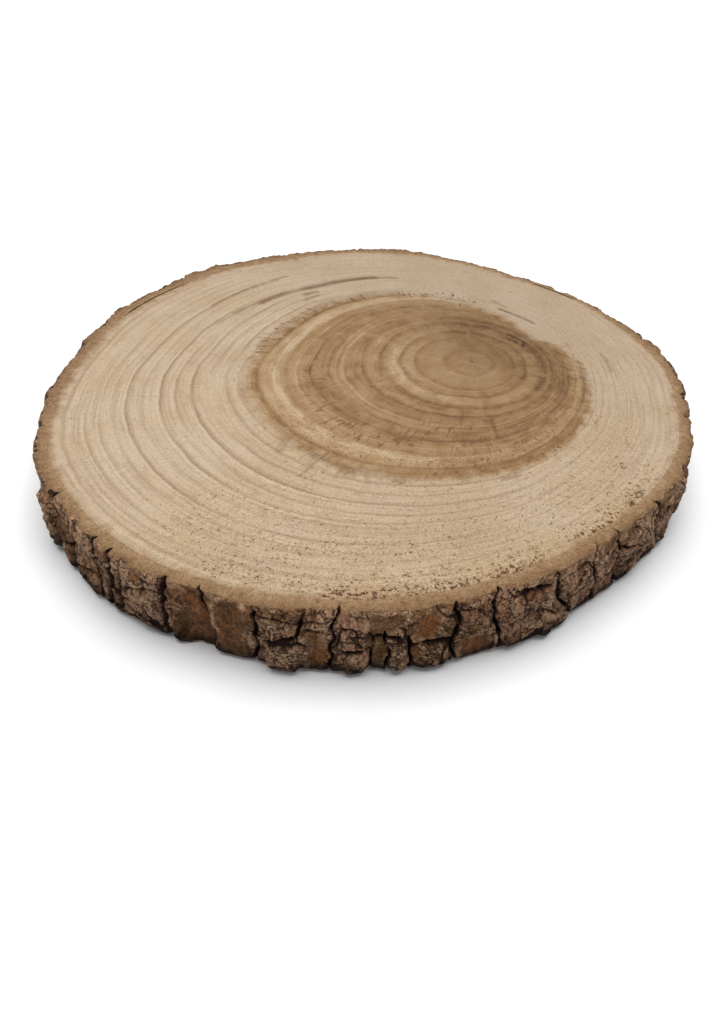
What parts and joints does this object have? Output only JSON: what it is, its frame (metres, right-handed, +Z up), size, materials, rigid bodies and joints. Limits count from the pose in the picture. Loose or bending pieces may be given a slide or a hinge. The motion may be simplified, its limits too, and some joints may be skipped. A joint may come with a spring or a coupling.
{
  "type": "wood slice",
  "caption": "Round slice sawn across a tree trunk, with flat faces, growth rings off centre and rough fissured bark on its side.",
  "frame": {"origin": "middle of the lower sawn face, at the centre of the slice's own box", "axes": "+Z up through the slice's thickness, +Y away from the side that the picture shows in front, +X to the right"},
  "size_m": [0.2414, 0.24, 0.026],
  "materials": {
    "wood_and_bark": "raw sawn wood, matt, with rough unfinished bark"
  },
  "bodies": {
    "root": {"wood_slice": "wood_and_bark"}
  },
  "joints": []
}
